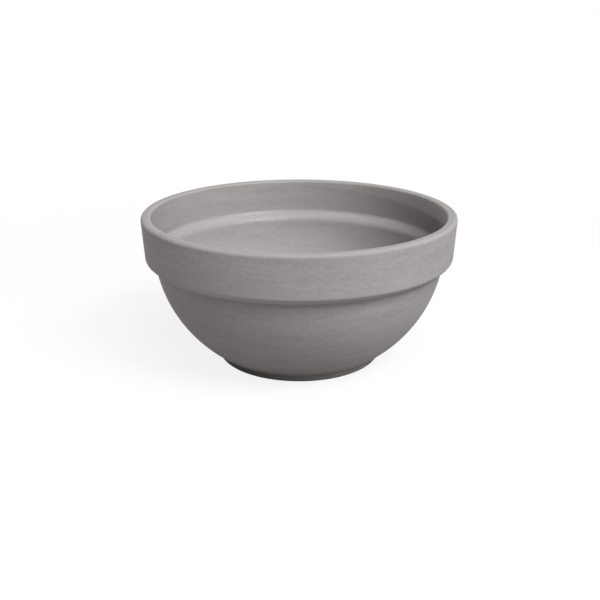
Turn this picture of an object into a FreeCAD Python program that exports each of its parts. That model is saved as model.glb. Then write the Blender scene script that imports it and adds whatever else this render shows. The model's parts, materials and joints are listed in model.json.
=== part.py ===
"""A low terracotta flower pot: a round bowl with a thick collar at its mouth, on a low foot ring.

The pot is turned about +Z. Its origin is on the ground, under the middle of the foot. Each clay section
is one solid, drawn as a half section of radius and height and turned through a full circle.
"""

import FreeCAD, Part
import math
import os

# Driving dimensions, in millimetres and degrees

mouth_diameter = 270.3          # across the lip before its edge is rounded, 270 after
pot_height = 129.6              # ground to the top of the lip

lip_thickness = 8.5             # across the top of the lip, and all down the collar
lip_outer_round = 2.8
lip_inner_round = 2.3

collar_height = 41.6            # top of the lip down to the crease under the collar
collar_taper = 2.25             # how much less the collar's radius is at its lower edge
collar_overhang = 8.4           # how far the lower edge stands out from the bowl
collar_underside_slope = 32.0   # the underside falls towards the bowl at this angle
collar_edge_round = 3.6

wall_thickness = 7.2            # of the bowl, square to its face
bowl_arc_radius = 116.0         # the bowl's outside is one arc of this radius

shoulder_lift = 2.0             # the wall inside bends into the shoulder this far above the crease
shoulder_slope = 42.0
shoulder_round = 8.6            # where the bowl's inside turns into the shoulder
shoulder_hollow = 4.7           # where the shoulder turns up into the collar

foot_diameter = 144.0           # at the crease above the foot
foot_height = 6.3
foot_taper = 0.6                # how much less the foot's radius is at the ground
foot_edge_round = 4.0
foot_ring_width = 13.0          # across the top of the ring
foot_inner_round = 1.5

floor_thickness = 9.0
floor_corner_round = 12.0       # inside, between the floor and the wall
drain_hole_diameter = 22.0
drain_edge_round = 1.0

# Places worked out from the driving dimensions

mouth_radius = mouth_diameter / 2
foot_radius = foot_diameter / 2
drain_radius = drain_hole_diameter / 2
crease_height = pot_height - collar_height
crease_radius = mouth_radius - collar_taper - collar_overhang
edge_radius = mouth_radius - collar_taper
edge_height = crease_height + collar_overhang * math.tan(math.radians(collar_underside_slope))
collar_lean = collar_taper / (pot_height - edge_height)
floor_height = foot_height + floor_thickness
inner_arc_radius = bowl_arc_radius - wall_thickness


def at(radius, height):
    """A point of the half section."""
    return FreeCAD.Vector(radius, 0, height)


def arc_centre(upper, lower, radius):
    """Centre, on the axis side, of the arc of this radius from upper down to lower."""
    chord = lower - upper
    reach = math.sqrt(radius ** 2 - (chord.Length / 2) ** 2)
    towards_axis = at(chord.z, -chord.x).normalize()
    return upper + chord * 0.5 + towards_axis * reach


bowl_centre = arc_centre(at(crease_radius, crease_height), at(foot_radius, foot_height), bowl_arc_radius)


def inner_wall_at(height):
    """Point of the bowl's inside at this height."""
    rise = height - bowl_centre.z
    return at(bowl_centre.x + math.sqrt(inner_arc_radius ** 2 - rise ** 2), height)


def floor_corner():
    """Centre of the round between the floor and the wall. The floor is flat as far as its radius."""
    height = floor_height + floor_corner_round
    rise = height - bowl_centre.z
    reach = inner_arc_radius - floor_corner_round
    return at(bowl_centre.x + math.sqrt(reach ** 2 - rise ** 2), height)


def middle_of_arc(centre, start, end):
    """Point halfway along the shorter arc about this centre."""
    halfway = (start - centre) + (end - centre)
    return centre + halfway.normalize() * (start - centre).Length


def span(start, end, centre=None):
    """Edge from start to end: a line, or the shorter arc about a centre."""
    if centre is None:
        return Part.LineSegment(start, end).toShape()
    return Part.Arc(start, middle_of_arc(centre, start, end), end).toShape()


def turned(corners):
    """Solid turned from a half section.

    Each corner is its point, the radius that rounds it, and the centre of the arc that leads to the next
    corner, or None where a straight line does.
    """
    section_plane = Part.Plane(at(0, 0), FreeCAD.Vector(0, 1, 0))
    following = corners[1:] + corners[:1]
    edges = [span(here[0], there[0], here[2]) for here, there in zip(corners, following)]
    rounds = []
    for i, (point, rounding, _) in enumerate(corners):
        if rounding:
            fillet = Part.ChFi2d.FilletAPI(edges[i - 1], edges[i], section_plane)
            fillet.perform(rounding)
            arc, edges[i - 1], edges[i] = fillet.result(point, -1)
            rounds.append(arc)
    outline = Part.Wire(Part.__sortEdges__(edges + rounds))
    return Part.Face(outline).revolve(at(0, 0), FreeCAD.Vector(0, 0, 1), 360)


def rim_collar():
    """Upright band with the lip, the overhanging lower edge and the shoulder inside."""
    slope = math.radians(shoulder_slope)
    wall_end = inner_wall_at(crease_height + shoulder_lift)
    round_centre = wall_end + (wall_end - bowl_centre).normalize() * shoulder_round
    shoulder_foot = round_centre + at(-math.sin(slope), math.cos(slope)) * shoulder_round
    # the collar's inside leans as its outside does, and the shoulder climbs from its foot to meet it
    top_inside = mouth_radius - lip_thickness
    run = 1 / math.tan(slope)
    gap = top_inside - collar_lean * (pot_height - shoulder_foot.z) - shoulder_foot.x
    climb = gap / (run - collar_lean)
    shoulder_top = at(shoulder_foot.x + climb * run, shoulder_foot.z + climb)
    return turned([
        (at(crease_radius, crease_height), 0, None),
        (at(edge_radius, edge_height), collar_edge_round, None),
        (at(mouth_radius, pot_height), lip_outer_round, None),
        (at(top_inside, pot_height), lip_inner_round, None),
        (shoulder_top, shoulder_hollow, None),
        (shoulder_foot, 0, round_centre),
        (wall_end, 0, bowl_centre),
        (inner_wall_at(crease_height), 0, None),
    ])


def bowl_wall():
    """Round wall from the crease under the collar to the crease above the foot."""
    corner = floor_corner()
    from_bowl_centre = (corner - bowl_centre).normalize()
    wall_start = bowl_centre + from_bowl_centre * inner_arc_radius
    return turned([
        (at(crease_radius, crease_height), 0, bowl_centre),
        (at(foot_radius, foot_height), 0, None),
        (at(corner.x, foot_height), 0, None),
        (at(corner.x, floor_height), 0, corner),
        (wall_start, 0, bowl_centre),
        (inner_wall_at(crease_height), 0, None),
    ])


def floor_slab():
    """Flat floor inside the wall, with the drain hole in its middle."""
    slab_radius = floor_corner().x
    return turned([
        (at(drain_radius, foot_height), drain_edge_round, None),
        (at(slab_radius, foot_height), 0, None),
        (at(slab_radius, floor_height), 0, None),
        (at(drain_radius, floor_height), drain_edge_round, None),
    ])


def foot_ring():
    """Low ring that the pot stands on, hollow under the floor."""
    ring_inside = foot_radius - foot_ring_width
    return turned([
        (at(ring_inside, foot_height), 0, None),
        (at(foot_radius, foot_height), 0, None),
        (at(foot_radius - foot_taper, 0), foot_edge_round, None),
        (at(ring_inside, 0), foot_inner_round, None),
    ])


def main():
    os.makedirs("parts", exist_ok=True)
    sections = {
        "rim_collar": rim_collar(),
        "bowl_wall": bowl_wall(),
        "floor_slab": floor_slab(),
        "foot_ring": foot_ring(),
    }
    for name, shape in sections.items():
        shape.exportStep(f"parts/{name}.step")
        box = shape.optimalBoundingBox(False)
        print(f"{name}: {shape.Volume / 1000:.1f} cm3, {box.XLength:.2f} mm across,"
              f" z {box.ZMin:.2f} to {box.ZMax:.2f}")


main()
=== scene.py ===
"""Looks of a low terracotta flower pot.

Four turned clay sections stand for the four solids of the frame: a collar, a bowl, a floor and a foot.
Each is drawn as a half section of radius and height. One node tree turns it about the pot's axis and
leaves the ridges of the turning on it, and one clay finishes them all.
"""

import json
import math

import bpy
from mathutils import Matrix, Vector


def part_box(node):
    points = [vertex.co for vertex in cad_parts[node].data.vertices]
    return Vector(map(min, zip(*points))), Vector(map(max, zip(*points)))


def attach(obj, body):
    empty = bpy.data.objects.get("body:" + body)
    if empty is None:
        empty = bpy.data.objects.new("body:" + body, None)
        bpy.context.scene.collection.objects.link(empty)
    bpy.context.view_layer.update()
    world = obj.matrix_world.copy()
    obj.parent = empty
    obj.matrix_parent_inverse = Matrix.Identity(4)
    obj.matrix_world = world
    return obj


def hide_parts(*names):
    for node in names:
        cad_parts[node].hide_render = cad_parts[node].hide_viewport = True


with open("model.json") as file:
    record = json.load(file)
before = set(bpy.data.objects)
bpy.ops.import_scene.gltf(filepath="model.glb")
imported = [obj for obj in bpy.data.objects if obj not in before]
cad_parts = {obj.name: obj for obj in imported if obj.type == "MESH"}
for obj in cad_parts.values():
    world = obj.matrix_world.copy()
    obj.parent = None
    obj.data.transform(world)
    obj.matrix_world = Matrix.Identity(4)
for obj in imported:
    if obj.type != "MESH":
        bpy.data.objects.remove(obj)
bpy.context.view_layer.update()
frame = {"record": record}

MM = 0.001

# Sizes of the clay, from the frame where it has them

crease_height, pot_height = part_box("rim_collar")[0].z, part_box("rim_collar")[1].z
crease_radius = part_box("bowl_wall")[1].x
slab_radius, floor_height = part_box("floor_slab")[1].x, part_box("floor_slab")[1].z
foot_radius, foot_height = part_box("foot_ring")[1].x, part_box("foot_ring")[1].z
drain_hole = next(m for m in frame["record"]["mounts"] if m["name"] == "drain_hole")
drain_radius = drain_hole["dims"]["r_mm"] * MM

lip_thickness = 8.5 * MM
lip_outer_round = 2.8 * MM
lip_inner_round = 2.3 * MM

collar_taper = 2.25 * MM
collar_overhang = 8.4 * MM
collar_underside_slope = math.radians(32.0)
collar_edge_round = 3.6 * MM

wall_thickness = 7.2 * MM
bowl_arc_radius = 116.0 * MM

shoulder_lift = 2.0 * MM
shoulder_slope = math.radians(42.0)
shoulder_round = 8.6 * MM
shoulder_hollow = 4.7 * MM

foot_taper = 0.6 * MM
foot_edge_round = 4.0 * MM
foot_ring_width = 13.0 * MM
foot_inner_round = 1.5 * MM

floor_corner_round = 12.0 * MM
drain_edge_round = 1.0 * MM

# Fineness of the turned meshes, and the angle from which an edge is sharp

turning_segments = 320
collar_step = 0.4 * MM
bowl_step = 0.7 * MM
floor_step = 0.8 * MM
foot_step = 0.4 * MM
joint_step = 3.0 * MM
sharp_angle = math.radians(40.0)

# Reach of the finish from a joint, and of the wear from a round edge

joint_fade = 3.0 * MM
wear_fade = 2.0 * MM


# Half sections

def at(radius, height):
    """A point of a half section."""
    return Vector((radius, height))


def nearness(point, places, reach):
    """1 at any of the places, falling to 0 at this reach from them."""
    if not places:
        return 0.0
    nearest = min((point - place).length for place in places)
    return max(0.0, 1 - nearest / reach)


class HalfSection:
    """Closed outline of a turned piece, drawn up its inside, over its top and down its outside."""

    def __init__(self, start, step):
        self.points = [start]
        self.step = step
        self.joints = []
        self.edges = []
        self.wiped = []

    def line(self, end, step=None):
        start = self.points[-1]
        count = max(1, math.ceil((end - start).length / (step or self.step)))
        self.points += [start.lerp(end, i / count) for i in range(1, count + 1)]
        return self

    def arc(self, centre, end):
        """The shorter arc about a centre."""
        spoke = self.points[-1] - centre
        sweep = math.atan2(spoke.cross(end - centre), spoke.dot(end - centre))
        count = max(2, math.ceil(abs(sweep) * spoke.length / self.step))
        for i in range(1, count + 1):
            turn = sweep * i / count
            self.points.append(centre + at(spoke.x * math.cos(turn) - spoke.y * math.sin(turn),
                                           spoke.x * math.sin(turn) + spoke.y * math.cos(turn)))
        return self

    def rounded(self, corner, onward, radius):
        """A line towards a corner, and a round that turns onward from it."""
        back = (self.points[-1] - corner).normalized()
        ahead = (onward - corner).normalized()
        half_angle = math.acos(back.dot(ahead)) / 2
        reach = radius / math.tan(half_angle)
        centre = corner + (back + ahead).normalized() * (radius / math.sin(half_angle))
        return self.line(corner + back * reach).arc(centre, corner + ahead * reach)

    def worn_edge(self, corner, onward, radius):
        """A rounded corner that hands and shelves rub."""
        first = len(self.points)
        self.rounded(corner, onward, radius)
        self.edges += [p for p in self.points[first:] if (p - corner).length < radius]
        return self

    def wiped_so_far(self):
        """All that is drawn up to here was wiped smooth while the clay was wet."""
        self.wiped = list(self.points)
        return self

    def joint(self, end):
        """A face where the piece meets the next one. It is never seen."""
        first = len(self.points) - 1
        self.line(end, joint_step)
        self.joints += self.points[first:]
        return self

    def finish(self, point):
        """How much of the turning's ridges a point gets: none at a joint, all of them further off."""
        return 1 - nearness(point, self.joints, joint_fade)

    def wear(self, point):
        """How much a point is rubbed: all along the worn edges, and less beside them."""
        return nearness(point, self.edges, wear_fade)

    def wiping(self, point):
        """1 where the clay was wiped smooth, 0 elsewhere."""
        return float(point in self.wiped)


# The bowl's outside is one arc, and its inside another about the same centre

crease = at(crease_radius, crease_height)
foot_crease = at(foot_radius, foot_height)
chord = foot_crease - crease
chord_reach = math.sqrt(bowl_arc_radius ** 2 - chord.length_squared / 4)
bowl_centre = crease + chord / 2 + at(chord.y, -chord.x).normalized() * chord_reach
inner_arc_radius = bowl_arc_radius - wall_thickness


def inner_wall_at(height):
    rise = height - bowl_centre.y
    return at(bowl_centre.x + math.sqrt(inner_arc_radius ** 2 - rise ** 2), height)


def rim_collar_section():
    """Up the shoulder to the lip, and down to the overhanging edge and the crease under it."""
    edge = crease + at(collar_overhang, collar_overhang * math.tan(collar_underside_slope))
    lip_outside = at(edge.x + collar_taper, pot_height)
    lip_inside = lip_outside - at(lip_thickness, 0)
    lean = collar_taper / (pot_height - edge.y)
    wall_end = inner_wall_at(crease_height + shoulder_lift)
    round_centre = wall_end + (wall_end - bowl_centre).normalized() * shoulder_round
    shoulder_foot = round_centre + at(-math.sin(shoulder_slope), math.cos(shoulder_slope)) * shoulder_round
    run = 1 / math.tan(shoulder_slope)
    gap = lip_inside.x - lean * (pot_height - shoulder_foot.y) - shoulder_foot.x
    climb = gap / (run - lean)
    shoulder_top = shoulder_foot + at(climb * run, climb)
    section = HalfSection(inner_wall_at(crease_height), collar_step)
    section.arc(bowl_centre, wall_end).arc(round_centre, shoulder_foot)
    section.rounded(shoulder_top, lip_inside, shoulder_hollow)
    section.worn_edge(lip_inside, lip_outside, lip_inner_round).wiped_so_far()
    section.worn_edge(lip_outside, edge, lip_outer_round)
    section.worn_edge(edge, crease, collar_edge_round)
    return section.line(crease).joint(inner_wall_at(crease_height))


def bowl_wall_section():
    """Up the inside from the floor, across the joint with the collar and down the outside to the foot."""
    corner = at(slab_radius, floor_height + floor_corner_round)
    wall_start = bowl_centre + (corner - bowl_centre).normalized() * inner_arc_radius
    section = HalfSection(at(slab_radius, floor_height), bowl_step)
    section.arc(corner, wall_start).arc(bowl_centre, inner_wall_at(crease_height)).wiped_so_far()
    section.joint(crease)
    section.arc(bowl_centre, foot_crease).joint(at(slab_radius, foot_height))
    return section.joint(at(slab_radius, floor_height))


def floor_slab_section():
    """Up the drain hole, out over the floor, down the joint with the wall and back underneath."""
    hole_low = at(drain_radius, foot_height)
    hole_high = at(drain_radius, floor_height)
    slab_low = at(slab_radius, foot_height)
    slab_high = at(slab_radius, floor_height)
    hole_middle = (hole_low + hole_high) / 2
    section = HalfSection(hole_middle, floor_step)
    section.worn_edge(hole_high, slab_high, drain_edge_round)
    section.line(slab_high).wiped_so_far().joint(slab_low)
    return section.worn_edge(hole_low, hole_middle, drain_edge_round).line(hole_middle)


def foot_ring_section():
    """Across the joint with the bowl, down the outside, under the foot and up its hollow."""
    inside_top = at(foot_radius - foot_ring_width, foot_height)
    inside_low = at(inside_top.x, 0)
    outside_low = at(foot_radius - foot_taper, 0)
    section = HalfSection(inside_top, foot_step).joint(foot_crease)
    section.worn_edge(outside_low, inside_low, foot_edge_round)
    return section.worn_edge(inside_low, inside_top, foot_inner_round).line(inside_top)


# Node trees, written as expressions

class Nodes:
    """A node tree, filled one node at a time."""

    def __init__(self, tree):
        self.tree = tree
        tree.nodes.clear()

    def add(self, kind, settings=None, values=None, output=0):
        """Adds a node: its settings first, then the values or links of its sockets. Gives one output."""
        node = self.tree.nodes.new(kind)
        for name, value in (settings or {}).items():
            setattr(node, name, value)
        for name, value in (values or {}).items():
            if isinstance(value, Socket):
                self.tree.links.new(value.output, node.inputs[name])
            else:
                node.inputs[name].default_value = value
        return Socket(self, node.outputs[output]) if len(node.outputs) else None


class Socket:
    """An output in a node tree. Arithmetic on it adds Math nodes."""

    def __init__(self, nodes, output):
        self.nodes = nodes
        self.output = output

    def sibling(self, name):
        """Another output of the same node."""
        return Socket(self.nodes, self.output.node.outputs[name])

    def math(self, operation, *values):
        return self.nodes.add("ShaderNodeMath", {"operation": operation}, dict(enumerate(values)))

    def __add__(self, other):
        return self.math("ADD", self, other)

    def __sub__(self, other):
        return self.math("SUBTRACT", self, other)

    def __rsub__(self, other):
        return self.math("SUBTRACT", other, self)

    def __mul__(self, other):
        return self.math("MULTIPLY", self, other)

    def __truediv__(self, other):
        return self.math("DIVIDE", self, other)

    def __rtruediv__(self, other):
        return self.math("DIVIDE", other, self)

    def __gt__(self, other):
        return self.math("GREATER_THAN", self, other)

    __radd__ = __add__

    def root(self):
        return self.math("SQRT", self)

    def clamped(self):
        return self.nodes.add("ShaderNodeClamp", None, {"Value": self})

    def scaled(self, factor):
        """A vector or colour made longer or brighter."""
        return self.nodes.add("ShaderNodeVectorMath", {"operation": "SCALE"}, {0: self, "Scale": factor})

    def moved(self, offset):
        """A vector with a fixed offset."""
        return self.nodes.add("ShaderNodeVectorMath", {"operation": "ADD"}, {0: self, 1: offset})


def parts_of(vector):
    """X, Y and Z of a vector."""
    x = vector.nodes.add("ShaderNodeSeparateXYZ", None, {0: vector})
    return x, x.sibling("Y"), x.sibling("Z")


def clouds(place, size, seed, detail=2.0):
    """Noise from 0 to 1 in soft patches of about this size."""
    return place.nodes.add("ShaderNodeTexNoise", {"noise_dimensions": "4D"}, {
        "Vector": place, "W": seed, "Scale": 1 / size, "Detail": detail, "Roughness": 0.55})


def turning_marks(place, run, thickness, seed, detail=1.0):
    """Noise from 0 to 1 in marks drawn out round the axis, about this long and this thick."""
    x, y, z = parts_of(place)
    radius = (x * x + y * y).root()
    around = crease_radius / run
    stretched = place.nodes.add("ShaderNodeCombineXYZ", None, {
        "X": x / radius * around, "Y": y / radius * around, "Z": z / thickness + seed})
    return place.nodes.add("ShaderNodeTexNoise", {"noise_dimensions": "4D"}, {
        "Vector": stretched, "W": radius / thickness, "Scale": 1.0, "Detail": detail, "Roughness": 0.55})


def specks(place, spacing, size, share, seed):
    """1 in sparse round specks and 0 between them. Only this share of the places has one."""
    distance = place.nodes.add("ShaderNodeTexVoronoi", None, {
        "Vector": place.moved((seed, seed, seed)), "Scale": 1 / spacing})
    chance, _, _ = parts_of(distance.sibling("Color"))
    inside = (2 - distance * (2 * spacing / size)).clamped()
    return inside * (chance > 1 - share)


def swing(noise, amount):
    """Noise about zero, this far from its least to its most."""
    return (noise - 0.5) * amount


def blend(factor, none, full):
    """One colour where the factor is 0, another where it is 1."""
    return factor.nodes.add("ShaderNodeMix", {"data_type": "RGBA"}, {0: factor, 6: none, 7: full}, 2)


def turned_clay_tree():
    """Turns a half section about the axis and leaves faint ridges round it."""
    group = bpy.data.node_groups.new("turned_clay", "GeometryNodeTree")
    kinds = {"Section": "Geometry", "Segments": "Int", "Ridge depth": "Float", "Ridge run": "Float",
             "Ridge thickness": "Float", "Seed": "Float", "Clay": "Material"}
    inputs = {}
    for label, kind in kinds.items():
        socket = group.interface.new_socket(label, in_out="INPUT", socket_type="NodeSocket" + kind)
        inputs[label] = socket.identifier
    group.interface.new_socket("Piece", in_out="OUTPUT", socket_type="NodeSocketGeometry")
    nodes = Nodes(group)
    section = nodes.add("NodeGroupInput")
    place = nodes.add("GeometryNodeInputPosition")
    x, _, z = parts_of(place)
    outline = nodes.add("GeometryNodeMeshToCurve", None, {"Mesh": section})
    upright = nodes.add("GeometryNodeSetPosition", None, {
        "Geometry": outline,
        "Position": nodes.add("ShaderNodeCombineXYZ", None, {"X": x - crease_radius, "Y": 0 - z}),
    })
    circle = nodes.add("GeometryNodeCurvePrimitiveCircle", None, {
        "Resolution": section.sibling("Segments"), "Radius": crease_radius})
    turned = nodes.add("GeometryNodeCurveToMesh", None, {"Curve": circle, "Profile Curve": upright})
    ridges = turning_marks(place, section.sibling("Ridge run"), section.sibling("Ridge thickness"),
                           section.sibling("Seed"))
    finish = nodes.add("GeometryNodeInputNamedAttribute", {"data_type": "FLOAT"}, {"Name": "finish"})
    cut = 0 - ridges * finish * section.sibling("Ridge depth")
    ridged = nodes.add("GeometryNodeSetPosition", None, {
        "Geometry": turned, "Offset": nodes.add("GeometryNodeInputNormal").scaled(cut)})
    smooth = nodes.add("GeometryNodeSetShadeSmooth", None, {"Geometry": ridged})
    sharp = nodes.add("GeometryNodeInputMeshEdgeAngle") > sharp_angle
    creased = nodes.add("GeometryNodeSetShadeSmooth", {"domain": "EDGE"}, {
        "Geometry": smooth, "Selection": sharp, "Shade Smooth": False})
    whole = nodes.add("GeometryNodeRealizeInstances", None, {"Geometry": creased})
    coated = nodes.add("GeometryNodeSetMaterial", None, {
        "Geometry": whole, "Material": section.sibling("Clay")})
    nodes.add("NodeGroupOutput", None, {"Piece": coated})
    return group, inputs


def new_material(name):
    material = bpy.data.materials.new(name)
    material.use_nodes = True
    return material, Nodes(material.node_tree)


def fired_clay():
    """Unglazed grey clay: marks of dragged grains, fine lines, faint clouds, grit, pale specks, and dented
    pits with painted shade in them.

    Worn edges show less of the marks, and so does the wiped inside, which has a faint sheen.
    """
    cool_grey = (0.297, 0.284, 0.285, 1.0)
    warm_grey = (0.306, 0.284, 0.275, 1.0)
    material, nodes = new_material("fired_clay")
    place = nodes.add("ShaderNodeTexCoord", output="Object")
    drags = turning_marks(place, run=3.8 * MM, thickness=1.5 * MM, seed=3.0, detail=3.0)
    lines = turning_marks(place, run=18 * MM, thickness=0.9 * MM, seed=11.0)
    patches = turning_marks(place, run=60 * MM, thickness=7 * MM, seed=7.0, detail=2.0)
    grit = clouds(place, size=0.8 * MM, seed=1.0, detail=1.0)
    pale = specks(place, spacing=14 * MM, size=1.6 * MM, share=0.3, seed=0.5)
    pits_and_painted_shade = specks(place, spacing=11 * MM, size=1.2 * MM, share=0.25, seed=0.9)
    wear = nodes.add("ShaderNodeAttribute", {"attribute_name": "wear"}, None, "Fac")
    wiping = nodes.add("ShaderNodeAttribute", {"attribute_name": "wiping"}, None, "Fac")
    fresh = 1 - wear * 0.6 - wiping * 0.28
    # The pits' darker colour is painted shade; their dent is in the relief
    tone = (1 + (swing(drags, 0.48) + swing(lines, 0.18)) * fresh + swing(patches, 0.28) + swing(grit, 0.14)
            + pale * 0.10 - pits_and_painted_shade * 0.14)
    hue = blend(clouds(place, size=70 * MM, seed=5.0), cool_grey, warm_grey)
    relief = (drags * 0.5 + lines * 0.4) * fresh + grit * 0.4 + pale * 0.3 - pits_and_painted_shade * 1.0
    bumps = nodes.add("ShaderNodeBump", None, {"Strength": 1.0, "Distance": 0.035 * MM, "Height": relief})
    surface = nodes.add("ShaderNodeBsdfPrincipled", None, {
        "Base Color": hue.scaled(tone), "Roughness": 0.78 + swing(drags, 0.2), "Specular IOR Level": 0.15,
        "Coat Weight": wiping * 0.28, "Coat Roughness": 0.30, "Normal": bumps})
    nodes.add("ShaderNodeOutputMaterial", None, {"Surface": surface})
    return material


turned_clay, clay_inputs = turned_clay_tree()
clay = fired_clay()


def turned_piece(name, section, node):
    """Turns a section into a plain mesh that stands for a node of the frame."""
    outline = section.points[:-1]
    count = len(outline)
    mesh = bpy.data.meshes.new(name)
    mesh.from_pydata([(p.x, 0.0, p.y) for p in outline], [(i, (i + 1) % count) for i in range(count)], [])
    for label, amount in {"finish": section.finish, "wear": section.wear, "wiping": section.wiping}.items():
        attribute = mesh.attributes.new(label, "FLOAT", "POINT")
        attribute.data.foreach_set("value", [amount(p) for p in outline])
    piece = bpy.data.objects.new(name, mesh)
    bpy.context.scene.collection.objects.link(piece)
    turning = piece.modifiers.new("turning", "NODES")
    turning.node_group = turned_clay
    sizes = {"Segments": turning_segments, "Ridge depth": 0.06 * MM, "Ridge run": 40 * MM,
             "Ridge thickness": 2.2 * MM, "Seed": 1.0, "Clay": clay}
    for label, value in sizes.items():
        turning[clay_inputs[label]] = value
    depsgraph = bpy.context.evaluated_depsgraph_get()
    turned = bpy.data.meshes.new_from_object(piece.evaluated_get(depsgraph), depsgraph=depsgraph)
    piece.modifiers.remove(turning)
    piece.data = turned
    print(name, len(turned.polygons), "faces")
    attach(piece, "root")
    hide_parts(node)


turned_piece("clay_rim_collar", rim_collar_section(), "rim_collar")
turned_piece("clay_bowl_wall", bowl_wall_section(), "bowl_wall")
turned_piece("clay_floor_slab", floor_slab_section(), "floor_slab")
turned_piece("clay_foot_ring", foot_ring_section(), "foot_ring")


# Stage, lamps and camera

white = (1.0, 1.0, 1.0, 1.0)
lamp_distance = 4.0
middle_height = 0.06


def background_rays(nodes):
    """1 for the rays that should see the white background, 0 for those that carry light."""
    camera = nodes.add("ShaderNodeLightPath", output="Is Camera Ray")
    return (camera + camera.sibling("Is Glossy Ray") + camera.sibling("Is Transmission Ray")).clamped()


def pale_floor():
    """White to the camera, but for the pot's soft shadow, which fades out round it.

    To the rays that carry light it is grey, and darker close to the foot, a painted shade that darkens the
    foot.
    """
    half = 3.0
    shadow_share = 0.14
    shadow_reach = 0.35
    painted_shade_reach = 0.04
    painted_shade_grey = (0.133, 0.13, 0.129, 1.0)
    open_grey = (0.417, 0.407, 0.404, 1.0)
    paper_white = (0.85, 0.85, 0.85, 1.0)
    mesh = bpy.data.meshes.new("floor")
    corners = [(-half, -half, 0), (half, -half, 0), (half, half, 0), (-half, half, 0)]
    mesh.from_pydata(corners, [], [(0, 1, 2, 3)])
    floor = bpy.data.objects.new("floor", mesh)
    bpy.context.scene.collection.objects.link(floor)
    material, nodes = new_material("pale_floor")
    seen = background_rays(nodes)
    x, y, _ = parts_of(nodes.add("ShaderNodeTexCoord", output="Object"))
    radius = (x * x + y * y).root()
    outside = (radius / shadow_reach - 1).clamped()
    in_the_open = radius > foot_radius - foot_ring_width / 2
    bright = seen * in_the_open
    glow = bright * (1 - (1 - outside) * shadow_share)
    # Painted shade: close to the foot the ground is dark grey to the light, so less light bounces onto the
    # foot
    away = ((radius - foot_radius) / painted_shade_reach).clamped()
    paper = blend(bright, blend(away, painted_shade_grey, open_grey), paper_white)
    matt = nodes.add("ShaderNodeBsdfDiffuse", None, {"Color": paper})
    lit = nodes.add("ShaderNodeEmission", None, {"Color": white})
    nodes.add("ShaderNodeOutputMaterial", None, {
        "Surface": nodes.add("ShaderNodeMixShader", None, {0: glow, 1: matt, 2: lit})})
    mesh.materials.append(material)


def studio_world(ambient):
    """White behind the pot, and only a little light from all round."""
    world = bpy.data.worlds.new("studio")
    bpy.context.scene.world = world
    world.use_nodes = True
    nodes = Nodes(world.node_tree)
    seen = background_rays(nodes)
    background = nodes.add("ShaderNodeBackground", None, {
        "Color": white, "Strength": ambient + seen * (1 - ambient)})
    nodes.add("ShaderNodeOutputWorld", None, {"Surface": background})


def hang_lamp(name, data, azimuth, elevation, aim_height, warmth, glints=False):
    """Hangs a lamp far from the pot. Azimuth 0 is the camera's side, and 90 is at its right.

    Warmth above 0 makes its light redder, and below 0 bluer. Only a lamp with glints shows in the
    clay's sheen.
    """
    a, e = math.radians(azimuth), math.radians(elevation)
    towards = Vector((math.sin(a) * math.cos(e), -math.cos(a) * math.cos(e), math.sin(e)))
    data.color = (1 + warmth, 1.0, 1 - warmth / 3)
    lamp = bpy.data.objects.new(name, data)
    lamp.location = Vector((0.0, 0.0, middle_height)) + towards * lamp_distance
    back = lamp.location - Vector((0.0, 0.0, aim_height))
    lamp.rotation_euler = back.to_track_quat("Z", "Y").to_euler()
    lamp.visible_glossy = glints
    bpy.context.scene.collection.objects.link(lamp)


def soft_lamp(name, azimuth, elevation, size, watts, warmth, glints=False):
    """A large round lamp."""
    data = bpy.data.lights.new(name, "AREA")
    data.shape = "DISK"
    data.size = size
    data.energy = watts
    hang_lamp(name, data, azimuth, elevation, middle_height, warmth, glints)


def snooted_lamp(name, azimuth, elevation, aim_height, reach, watts, warmth):
    """A small lamp with a snoot. Its light fades out at this reach from its aim."""
    data = bpy.data.lights.new(name, "SPOT")
    data.shadow_soft_size = 0.05
    data.spot_size = 2 * math.atan(reach / lamp_distance)
    data.spot_blend = 0.6
    data.energy = watts
    hang_lamp(name, data, azimuth, elevation, aim_height, warmth)


def photo_camera():
    """Looks down at the front of the pot."""
    distance = 0.7853
    pitch = math.radians(19.447)
    aim = Vector((0.00074, 0.0, 0.048))
    data = bpy.data.cameras.new("camera")
    data.sensor_width = 36.0
    data.lens = 52.8
    camera = bpy.data.objects.new("camera", data)
    camera.location = aim + Vector((0.0, -math.cos(pitch), math.sin(pitch))) * distance
    camera.rotation_euler = (math.pi / 2 - pitch, 0.0, 0.0)
    bpy.context.scene.collection.objects.link(camera)
    bpy.context.scene.camera = camera


pale_floor()
studio_world(ambient=0.01)
soft_lamp("key", azimuth=48, elevation=48, size=2.0, watts=138, warmth=-0.008, glints=True)
soft_lamp("front", azimuth=20, elevation=48, size=2.5, watts=98, warmth=-0.008)
soft_lamp("top", azimuth=0, elevation=88, size=2.5, watts=33, warmth=-0.008)
soft_lamp("right", azimuth=90, elevation=4, size=2.5, watts=36, warmth=0.0)
soft_lamp("back", azimuth=210, elevation=4, size=0.9, watts=62, warmth=0.03)
# The snoot keeps the left lamp's light off the foot
snooted_lamp("left", azimuth=-82, elevation=4, aim_height=0.27, reach=0.275, watts=118, warmth=0.05)
photo_camera()
bpy.context.scene.view_settings.view_transform = "Standard"
